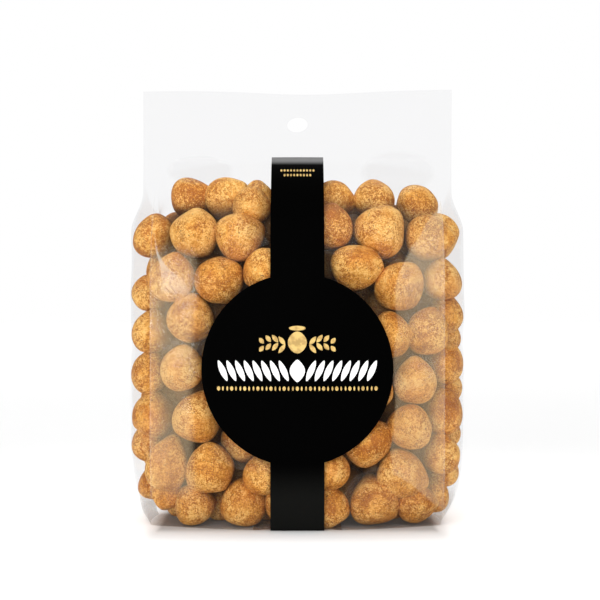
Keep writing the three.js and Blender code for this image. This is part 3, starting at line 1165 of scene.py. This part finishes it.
    def _in_sight(self, nut: Array, index: int) -> Array:
        """Fits a nut that shows to the place and size at which it is seen from the front.

        Args:
            nut: its vertices.
            index: its number.

        Returns:
            The fitted vertices.
        """
        low, high = nut.min(axis=0), nut.max(axis=0)
        middle, half = (low + high) / 2, (high - low) / 2
        size = self.rows[index].radius * MM / (0.5 * (half[0] + half[2]))
        return (nut - middle) * size + self._line_of_sight(index, middle[1])[0]

    def _inside(self, nut: Array, index: int) -> Array:
        """Moves a nut back inside the film, along its line of sight if it shows.

        Args:
            nut: its vertices.
            index: its number.

        Returns:
            The moved vertices.
        """
        for turn in range(10):
            if index < len(self.rows) and turn:
                middle = (nut.min(axis=0) + nut.max(axis=0)) / 2
                nut = nut + 0.8 * (self._line_of_sight(index, middle[1])[0] - middle)
            for wall in self.walls():
                middle = nut.mean(axis=0)
                rise = self.slope(wall, middle)
                steep = float(np.linalg.norm(rise))
                short = self.skin_gap - float(wall(nut).min()) / steep
                if short > 0:
                    nut = nut + rise / steep * short
        return nut

    def build(self) -> bpy.types.Object:
        """Makes the nuts as one piece.

        Returns:
            The piece.
        """
        rays, corners = self._kernel()
        places, faces, tones, depths = [], [], [], []
        for index, (centre, radius) in enumerate(zip(self.centres, self.radii)):
            draw = self._draws_for(index)
            shown = self.rows[index] if index < len(self.rows) else None
            length = shown.length if shown else draw.uniform(1.0, 1.14)
            taper = shown.taper if shown else draw.uniform(0.05, 0.22)
            tone = shown.tone if shown else draw.uniform(0.35, 0.65)
            nut = self._shaped(rays, length, taper, draw) * radius
            nut = nut @ self._pose(index, draw).T + centre
            if shown:
                nut = self._in_sight(nut, index)
            faces.append(corners + len(places) * len(rays))
            places.append(self._inside(nut, index))
            tones.append(np.full(len(rays), tone + draw.uniform(-0.04, 0.04)))
            depths.append(self.depth(places[-1]))
        mesh = bpy.data.meshes.new("hazelnuts")
        mesh.from_pydata(np.concatenate(places).tolist(), [], np.concatenate(faces).tolist())
        for name, values in (("tone", tones), ("depth", depths)):
            mesh.attributes.new(name, "FLOAT", "POINT")
            mesh.attributes[name].data.foreach_set("value", np.concatenate(values))
        mesh.shade_smooth()
        piece = bpy.data.objects.new("hazelnuts", mesh)
        bpy.context.scene.collection.objects.link(piece)
        Finish.NUTS.dress(piece)
        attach(piece, "root")
        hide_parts("bag")
        return piece


# ---------------------------------------------------------------------------------------------
# Film


@dataclass
class FilmPouch:
    """The clear film: a sheet laid round the bag's form and up into the flat header."""

    nuts: NutBed
    panel_steps: int = 72
    gusset_steps: int = 24
    body_rings: int = 110
    header_rings: int = 26
    header_gap: float = 0.25 * MM
    fillet: float = 0.8 * MM
    press_out: float = 0.35 * MM
    slack: float = 0.16 * MM
    channel_half: float = 9.9 * MM
    channel_height: float = 0.5 * MM
    corner_swell: float = 1.8 * MM
    corner_height: float = 3.0 * MM
    corner_start: float = 38.0 * MM
    corner_end: float = 50.0 * MM
    channel_side: float = 5.0 * MM
    hole_height: float = 141.1 * MM
    hole_half_width: float = 3.65 * MM
    hole_half_height: float = 2.65 * MM
    hole_tilt: float = 0.12

    def _heights(self) -> Array:
        """The rings' heights: closer at the foot and the dome, where the form turns fastest."""
        body = np.linspace(0.0, 1.0, self.body_rings + 1)
        body = FORM.dome_top * (body - 0.075 * np.sin(2 * np.pi * body))
        header = np.linspace(FORM.dome_top, FORM.height, self.header_rings + 1)[1:]
        return np.concatenate([body, header])

    def _front(self, x: Array, z: Array) -> Array:
        """Half depth of the film: the form's, or the header's thin gap, joined smoothly.

        Args:
            x: the place across.
            z: the height.

        Returns:
            The half depth.
        """
        bump = np.exp(-(((z - FORM.dome_top) / (3.2 * MM)) ** 2))
        flat = self.header_gap + self.fillet * bump
        full = np.maximum(FORM.panel(x, z), 0.0)
        join = 0.5 * MM
        return 0.5 * (full + flat + np.sqrt((full - flat) ** 2 + join**2))

    def _place(self, around: Array, z: Array) -> Array:
        """The film's smooth surface.

        Args:
            around: the place round the section, from 0 to 4: front, right, back and left.
            z: the height.

        Returns:
            The points, as rows of three.
        """
        side = np.floor(around).astype(int) % 4
        s = 2.0 * (around - np.floor(around)) - 1.0
        width = FORM.outer_width(z)
        turn = np.where(side < 2, 1.0, -1.0)
        crease_x = FORM.fold(z) * width
        crease_y = self._front(crease_x, z)
        panel_x = crease_x * s
        gusset_x = width * (1.0 - (1.0 - FORM.fold(z)) * s * s)
        on_panel = side % 2 == 0
        x = turn * np.where(on_panel, panel_x, gusset_x)
        y = turn * np.where(on_panel, -self._front(panel_x, z), crease_y * s)
        return np.stack([x, y, z], axis=-1)

    def _normals(self, around: Array, z: Array) -> Array:
        """The directions out of the film's smooth surface.

        Args:
            around: the place round the section.
            z: the height.

        Returns:
            The directions, as rows of three.
        """
        # Kept a little inside each side, because the two sides' directions differ at a crease.
        inside = np.floor(around) + np.clip(around - np.floor(around), 0.002, 0.998)
        low, high = 0.05 * MM, FORM.height
        z = np.clip(z, low, high)
        step, lift = 0.001, 0.01 * MM
        along = self._place(inside + step, z) - self._place(inside - step, z)
        up = self._place(inside, z + lift) - self._place(inside, z - lift)
        out = np.cross(along, up)
        return out / np.linalg.norm(out, axis=1)[:, None]

    def _slackness(self, points: Array) -> Array:
        """A few long, shallow waves of the film.

        Args:
            points: the film's points.

        Returns:
            The waves, from -1 to 1.
        """
        x, y, z = (points / MM).T
        tall = np.sin(0.21 * x + 0.05 * z + 0.4) * np.sin(0.09 * z - 0.07 * x + 1.1)
        slant = np.sin(0.16 * x - 0.19 * z + 0.22 * y + 2.0)
        short = np.sin(0.33 * x + 0.27 * z + 0.3 * y)
        return 0.5 * tall + 0.35 * slant + 0.15 * short

    def _sheet(self) -> bpy.types.Object:
        """The flat sheet: a grid as wide as the way round the bag and as high as the bag.

        Returns:
            The sheet.
        """
        heights = self._heights()
        around = 2 * (self.panel_steps + self.gusset_steps)
        Shaper.clear()
        bpy.ops.mesh.primitive_grid_add(
            x_subdivisions=around, y_subdivisions=len(heights) - 1, size=1.0
        )
        return Shaper.named("film_pouch")

    def _lay_round(self, sheet: bpy.types.Object) -> None:
        """Lays the flat sheet round the bag's form.

        Args:
            sheet: the sheet.
        """
        flat = Shaper.vertices(sheet)
        heights = self._heights()
        ring = np.rint((flat[:, 1] + 0.5) * (len(heights) - 1)).astype(int)
        steps = [self.panel_steps, self.gusset_steps] * 2
        marks = np.concatenate(
            [side + np.arange(count) / count for side, count in enumerate(steps)] + [[4.0]]
        )
        column = np.rint((flat[:, 0] + 0.5) * (len(marks) - 1)).astype(int)
        around, z = marks[column] % 4.0, heights[ring]
        points = self._place(around, z)
        normals = self._normals(around, z)
        filled = smooth_step(z, 0.0, 6 * MM) * (1.0 - smooth_step(z, 126 * MM, 131 * MM))
        push = self.press_out * self.nuts.pressed(points, normals) * filled
        push += self.slack * self._slackness(points) * filled
        points = points + normals * push[:, None]
        # The left bottom corner is blown out rounder than the right one.
        round_out = np.exp(-(((points[:, 2] - self.corner_height) / (4.5 * MM)) ** 2))
        round_out *= smooth_step(-points[:, 0], self.corner_start, self.corner_end)
        points[:, 0] -= self.corner_swell * round_out
        header = z > FORM.dome_top
        share = (z - FORM.dome_top) / (FORM.height - FORM.dome_top)
        top = FORM.top_edge(points[:, 0])
        points[:, 2] = np.where(
            header, FORM.dome_top + share * (top - FORM.dome_top), np.maximum(points[:, 2], 0.0)
        )
        points[:, 1] += FORM.header_wave(points[:, 0], points[:, 2])
        points[ring == 0, 2] = 0.0
        # The film is a little higher where the band passes under it.
        beyond = np.abs(points[:, 0]) - self.channel_half
        under = 1.0 - smooth_step(beyond, 0.0, self.channel_side)
        low = 1.0 - smooth_step(points[:, 2], 0.0, 3 * MM)
        points[:, 2] += self.channel_height * under * low
        Shaper.move(sheet, points)

    def _close(self, sheet: bpy.types.Object) -> None:
        """Joins the sheet's edges and closes its bottom and its top.

        Args:
            sheet: the sheet, laid round the form.
        """
        Shaper.tidy(sheet, 0.002 * MM)
        for bottom in (True, False):
            with Shaper.editing(sheet):
                bpy.ops.mesh.select_mode(type="EDGE")
                bpy.ops.mesh.select_all(action="DESELECT")
                bpy.ops.mesh.select_non_manifold()
            low = Shaper.vertices(sheet)[:, 2] < FORM.foot_height
            for vertex, is_low in zip(sheet.data.vertices, low):
                vertex.select = vertex.select and bool(is_low) == bottom
            for edge in sheet.data.edges:
                edge.select = edge.select and bool(low[edge.vertices[0]]) == bottom
            with Shaper.editing(sheet):
                bpy.ops.mesh.fill()
        Shaper.tidy(sheet, 0.0001 * MM)

    def _punch(self, sheet: bpy.types.Object) -> None:
        """Punches the hang hole through the header.

        Args:
            sheet: the closed film.
        """
        Shaper.clear()
        bpy.ops.mesh.primitive_cylinder_add(
            vertices=48, radius=1.0, depth=12 * MM, rotation=(math.pi / 2, 0.0, 0.0)
        )
        punch = Shaper.named("hole_punch")
        bpy.ops.object.transform_apply(location=True, rotation=True, scale=True)
        places = Shaper.vertices(punch)
        wide = places[:, 0] * self.hole_half_width
        tall = places[:, 2] * self.hole_half_height
        places[:, 0], places[:, 2] = turned(wide, tall, self.hole_tilt)
        places[:, 2] += self.hole_height
        Shaper.move(punch, places)
        Shaper.combine(sheet, punch, "DIFFERENCE")

    def build(self) -> bpy.types.Object:
        """Makes the film.

        Returns:
            The piece.
        """
        film = self._sheet()
        self._lay_round(film)
        self._close(film)
        self._punch(film)
        Shaper.only(film)
        bpy.ops.object.shade_smooth_by_angle(angle=math.radians(24))
        Finish.FILM.dress(film)
        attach(film, "root")
        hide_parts("bag")
        return film


# ---------------------------------------------------------------------------------------------
# Band


@dataclass
class PaperBand:
    """The card band: cut flat as a strip with a disc, then wrapped round the bag, and printed."""

    half_width_top: float = 9.15 * MM
    half_width_foot: float = 9.35 * MM
    disc_radius: float = 32.55 * MM
    disc_height: float = 55.0 * MM
    thickness: float = 0.35 * MM
    stand_off: float = 1.25 * MM
    header_gap: float = 1.6 * MM
    fold: float = 1.6 * MM
    cell: float = 2.4 * MM
    ink: float = 0.05 * MM
    frieze_height: float = 54.6 * MM
    rule_height: float = 48.6 * MM
    emblem_height: float = 64.2 * MM

    def __post_init__(self) -> None:
        """Works out the line that the band's outer face follows."""
        self.line, self.along = self._outer_line()
        front = self.line[:, 0] < 0
        heights = np.where(front, self.line[:, 1], np.inf)
        self.disc_at = float(self.along[np.argmin(np.abs(heights - self.disc_height))])
        self.front_heights = self.line[front, 1][::-1]
        self.front_along = self.along[front][::-1]

    def _outer_line(self) -> Tuple[Array, Array]:
        """The outer face's line, from the front of the header down, under and up the back.

        Returns:
            Its points as rows of depth and height, and how far along each one is.
        """
        z = np.linspace(FORM.dome_top - 0.02 * MM, 0.6 * MM, 1400)
        y = -FORM.section(z)[1]
        run = np.stack([np.gradient(y), np.gradient(z)], axis=1)
        run /= np.linalg.norm(run, axis=1)[:, None]
        out = np.stack([run[:, 1], -run[:, 0]], axis=1)
        wall = np.stack([y, z], axis=1) + out * self.stand_off
        wall = wall[(wall[:, 0] < -self.header_gap) & (wall[:, 1] > self.fold)]
        start, lean = wall[-1], wall[-1] - wall[-2]
        corner = start + lean * (-start[1] / lean[1])
        level = corner + np.array([self.fold, 0.0])
        t = np.linspace(0.0, 1.0, 24)[1:, None]
        turn = (1 - t) ** 2 * start + 2 * t * (1 - t) * corner + t**2 * level
        half = np.concatenate([wall, turn])
        line = np.concatenate([half, half[::-1] * np.array([-1.0, 1.0])])
        lengths = np.linalg.norm(np.diff(line, axis=0), axis=1)
        along = np.concatenate([[0.0], np.cumsum(lengths)])
        even = np.arange(0.0, along[-1], 0.25 * MM)
        line = np.stack([np.interp(even, along, line[:, k]) for k in range(2)], axis=1)
        return line, even

    def _wrap(self, flat: Array) -> Array:
        """Wraps flat points round the bag.

        Args:
            flat: rows of the place across, the height above the card's outer face, and the
                place along the band.

        Returns:
            The points round the bag, as rows of three.
        """
        run = np.gradient(self.line, axis=0)
        run /= np.linalg.norm(run, axis=1)[:, None]
        x, above, s = flat.T
        y = np.interp(s, self.along, self.line[:, 0])
        z = np.interp(s, self.along, self.line[:, 1])
        out_y = np.interp(s, self.along, run[:, 1])
        out_z = -np.interp(s, self.along, run[:, 0])
        size = np.hypot(out_y, out_z)
        out_y, out_z = out_y / size, out_z / size
        bow = FORM.panel(x, z) - FORM.panel(np.zeros_like(x), z)
        return np.stack([x, y + out_y * (above + bow), z + out_z * above], axis=1)

    def _cut_flat(self) -> bpy.types.Object:
        """The band cut flat: a long strip joined with a disc.

        Returns:
            The flat piece, with its outer face at a height of 0.
        """
        length = float(self.along[-1])
        Shaper.clear()
        bpy.ops.mesh.primitive_cube_add(size=1.0)
        strip = Shaper.named("paper_band")
        places = Shaper.vertices(strip)
        share = places[:, 2] + 0.5
        low = 2 * np.abs(share - 0.5)
        half = self.half_width_foot + (self.half_width_top - self.half_width_foot) * low
        places[:, 0] = 2 * places[:, 0] * half
        places[:, 1] = (places[:, 1] - 0.5) * self.thickness
        places[:, 2] = share * length
        Shaper.move(strip, places)
        Shaper.clear()
        bpy.ops.mesh.primitive_cylinder_add(
            vertices=180,
            radius=self.disc_radius,
            depth=self.thickness,
            location=(0.0, -self.thickness / 2, self.disc_at),
            rotation=(math.pi / 2, 0.0, 0.0),
        )
        disc = Shaper.named("band_disc")
        bpy.ops.object.transform_apply(location=True, rotation=True, scale=True)
        Shaper.combine(strip, disc, "UNION")
        self._score(strip, length)
        return strip

    def _score(self, strip: bpy.types.Object, length: float) -> None:
        """Cuts the flat piece's faces along a grid of lines, so that it can bend.

        Args:
            strip: the flat piece.
            length: how long it is.
        """
        across = np.arange(-self.disc_radius + self.cell, self.disc_radius, self.cell)
        cuts = [((x, 0.0, 0.0), (1.0, 0.0, 0.0)) for x in across]
        lines = np.arange(self.cell, length, self.cell)
        top, foot = 16 * MM, 9 * MM
        bottom_at = length / 2 - 25 * MM
        tight = [np.arange(0.5 * MM, top, 0.8 * MM), length - np.arange(0.5 * MM, top, 0.8 * MM)]
        tight += [m + np.arange(-foot, foot, 0.45 * MM) for m in (bottom_at, length - bottom_at)]
        cuts += [((0.0, 0.0, s), (0.0, 0.0, 1.0)) for s in np.concatenate([lines, *tight])]
        with Shaper.editing(strip):
            for place, normal in cuts:
                bpy.ops.mesh.select_all(action="SELECT")
                bpy.ops.mesh.bisect(plane_co=tuple(map(float, place)), plane_no=normal)

    def build(self) -> bpy.types.Object:
        """Makes the band.

        Returns:
            The piece.
        """
        band = self._cut_flat()
        flat = Shaper.vertices(band)
        Shaper.move(band, self._wrap(flat))
        Shaper.tidy(band, 0.001 * MM)
        Shaper.only(band)
        bpy.ops.object.shade_smooth_by_angle(angle=math.radians(35))
        Finish.CARD.dress(band)
        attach(band, "root")
        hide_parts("band")
        return band

    def _leaf(
        self, x: float, z: float, length: float, width: float, turn: float, point: float = 1.0
    ) -> bpy.types.Object:
        """A printed leaf, flat.

        Args:
            x: its middle's place across.
            z: its middle's height on the front.
            length: its length.
            width: its width.
            turn: the angle of its length from upright, in degrees, to the right.
            point: how pointed its ends are: 0 for an oval, 1 for a leaf.

        Returns:
            The leaf.
        """
        Shaper.clear()
        bpy.ops.mesh.primitive_circle_add(vertices=28, radius=1.0, fill_type="NGON")
        leaf = Shaper.named("print_leaf")
        with Shaper.editing(leaf):
            bpy.ops.mesh.select_all(action="SELECT")
            bpy.ops.mesh.extrude_region_move(TRANSFORM_OT_translate={"value": (0, 0, 1)})
        middle = float(np.interp(z, self.front_heights, self.front_along))
        places = Shaper.vertices(leaf)
        up, side = places[:, 1], places[:, 0]
        side = side * (1.0 - point * 0.5 * up * up)
        wide, tall = turned(side * width / 2, up * length / 2, -math.radians(turn))
        flat = np.stack([x + wide, places[:, 2] * self.ink, middle - tall], axis=1)
        Shaper.move(leaf, flat)
        return leaf

    def _press(self, shapes: List[bpy.types.Object], name: str, ink: Finish) -> bpy.types.Object:
        """Joins flat shapes and lays them on the wrapped card.

        Args:
            shapes: the shapes.
            name: the print's name.
            ink: its finish.

        Returns:
            The print as one piece.
        """
        print_piece = Shaper.join(shapes, name)
        Shaper.move(print_piece, self._wrap(Shaper.vertices(print_piece)))
        Shaper.tidy(print_piece, 0.0005 * MM)
        ink.dress(print_piece)
        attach(print_piece, "root")
        return print_piece

    def print_gold(self) -> bpy.types.Object:
        """Prints the gold: a nut between sprigs of leaves, a dotted rule, and two short rules.

        Returns:
            The print.
        """
        shapes = [
            self._leaf(0.0, self.emblem_height, 7.4 * MM, 6.4 * MM, 0, 0.35),
            self._leaf(0.0, 69.0 * MM, 1.6 * MM, 5.6 * MM, 0, 0.0),
        ]
        for hand in (-1, 1):
            for step in range(4):
                reach = 5.2 + 2.3 * step
                lift = 63.4 + 0.35 * step * (3 - step)
                size = 3.6 - 0.42 * step
                for tip, turn in ((1.35, 38), (-1.35, 142)):
                    x, z = hand * reach * MM, (lift + tip) * MM
                    shapes.append(self._leaf(x, z, size * MM, 1.5 * MM, hand * turn))
        for step in range(-18, 19):
            wide = 0.6 if step % 3 else 1.1
            x = step * 1.48 * MM
            shapes.append(self._leaf(x, self.rule_height, 1.5 * MM, wide * MM, 0, 0.2))
        for row, half in ((123.8, 5), (122.0, 4)):
            for step in range(-half, half + 1):
                shapes.append(self._leaf(step * 1.12 * MM, row * MM, 1.3 * MM, 0.7 * MM, 0, 0.2))
        return self._press(shapes, "print_gold", Finish.GOLD)

    def print_white(self) -> bpy.types.Object:
        """Prints the white: a frieze of leaves that lean away from a lozenge in the middle.

        Returns:
            The print.
        """
        shapes = [self._leaf(0.0, self.frieze_height, 7.6 * MM, 5.2 * MM, 0, 1.0)]
        for hand in (-1, 1):
            for step in range(8):
                x = hand * (4.6 + 2.95 * step) * MM
                leaf = self._leaf(x, self.frieze_height, 7.6 * MM, 2.1 * MM, hand * 24, 0.7)
                shapes.append(leaf)
        return self._press(shapes, "print_white", Finish.WHITE)


# ---------------------------------------------------------------------------------------------
# Studio


@dataclass
class Studio:
    """A white floor, soft lights and the camera."""

    focal_pixels: float = 1342.0
    frame_pixels: float = 600.0
    sensor: float = 36.0
    floor_half: float = 4.0

    def _floor(self) -> bpy.types.Object:
        """Lays the floor.

        Returns:
            The floor.
        """
        Shaper.clear()
        bpy.ops.mesh.primitive_plane_add(size=2 * self.floor_half)
        floor = Shaper.named("studio_floor")
        floor.data.materials.append(StudioGround().material())
        return floor

    def _softbox(
        self,
        name: str,
        place: Tuple[float, float, float],
        size: Tuple[float, float],
        radiance: float,
    ) -> None:
        """Hangs a softbox that faces the bag.

        Args:
            name: its name.
            place: where it hangs.
            size: its width and height.
            radiance: how bright its face is.
        """
        light = bpy.data.lights.new(name, "AREA")
        light.shape = "RECTANGLE"
        light.size, light.size_y = size
        light.energy = radiance * math.pi * size[0] * size[1]
        holder = bpy.data.objects.new(name, light)
        bpy.context.scene.collection.objects.link(holder)
        holder.location = place
        aim = np.array([0.0, 0.0, 0.07]) - np.array(place)
        holder.rotation_euler = (
            math.acos(-aim[2] / float(np.linalg.norm(aim))),
            0.0,
            math.atan2(-aim[0], aim[1]),
        )

    def _lights(self) -> None:
        """Hangs the key light, a light overhead and a tall light on each side of the camera."""
        self._softbox("key_light", (-0.15, -1.25, 1.15), (1.3, 0.9), 3.2)
        self._softbox("top_light", (0.0, 0.10, 1.45), (1.4, 1.2), 1.1)
        self._softbox("front_light", (-0.4, -2.2, 0.20), (1.8, 1.0), 5.3)
        self._softbox("rim_light", (0.0, 1.05, 1.25), (1.4, 0.4), 2.5)
        for hand, side in ((-1, "left"), (1, "right")):
            place = (hand * 0.56, -0.93, 0.42)
            self._softbox(f"{side}_light", place, (0.30, 0.8), 3.8)

    def _world(self) -> None:
        """Surrounds the bag with white, dim on the camera's side so that the black stays black."""
        world = bpy.data.worlds.new("white_room")
        bpy.context.scene.world = world
        bench = Bench(world)
        room = bench.node("ShaderNodeTexCoord").outputs["Generated"]
        parts = bench.node("ShaderNodeSeparateXYZ", None, {0: room}).outputs
        depth = Wire(bench, parts[1])
        path = bench.node("ShaderNodeLightPath").outputs
        seen, glossy = Wire(bench, path["Is Camera Ray"]), Wire(bench, path["Is Glossy Ray"])
        wall = 0.08 + (0.30 + 0.45 * glossy) * depth.rise(-0.55, 0.35)
        strength = seen + (1.0 - seen) * wall
        shade = bench.node(
            "ShaderNodeBackground", None, {"Color": (1.0, 1.0, 1.0, 1.0), "Strength": strength}
        ).outputs[0]
        bench.node("ShaderNodeOutputWorld", None, {"Surface": shade})

    def _camera(self) -> None:
        """Sets up the camera, level and straight in front."""
        eye = bpy.data.cameras.new("camera")
        eye.sensor_width = self.sensor
        eye.lens = self.focal_pixels / self.frame_pixels * self.sensor
        eye.clip_start, eye.clip_end = 0.01, 50.0
        holder = bpy.data.objects.new("camera", eye)
        bpy.context.scene.collection.objects.link(holder)
        holder.location = EYE
        holder.rotation_euler = (math.pi / 2, 0.0, 0.0)
        bpy.context.scene.camera = holder

    def build(self) -> None:
        """Sets up the whole studio."""
        bpy.context.scene.view_settings.view_transform = "Standard"
        self._floor()
        self._lights()
        self._world()
        self._camera()


def main() -> None:
    """Builds the studio and every piece, and reports each one."""
    logging.basicConfig(level=logging.INFO, format="%(name)s: %(message)s")
    Studio().build()
    bed = NutBed()
    band = PaperBand()
    makers: List[Callable[[], bpy.types.Object]] = [
        bed.build,
        FilmPouch(bed).build,
        band.build,
        band.print_gold,
        band.print_white,
    ]
    for make in makers:
        piece = make()
        LOG.info("%s: %d vertices", piece.name, len(piece.data.vertices))


if __name__ == "__main__":
    main()
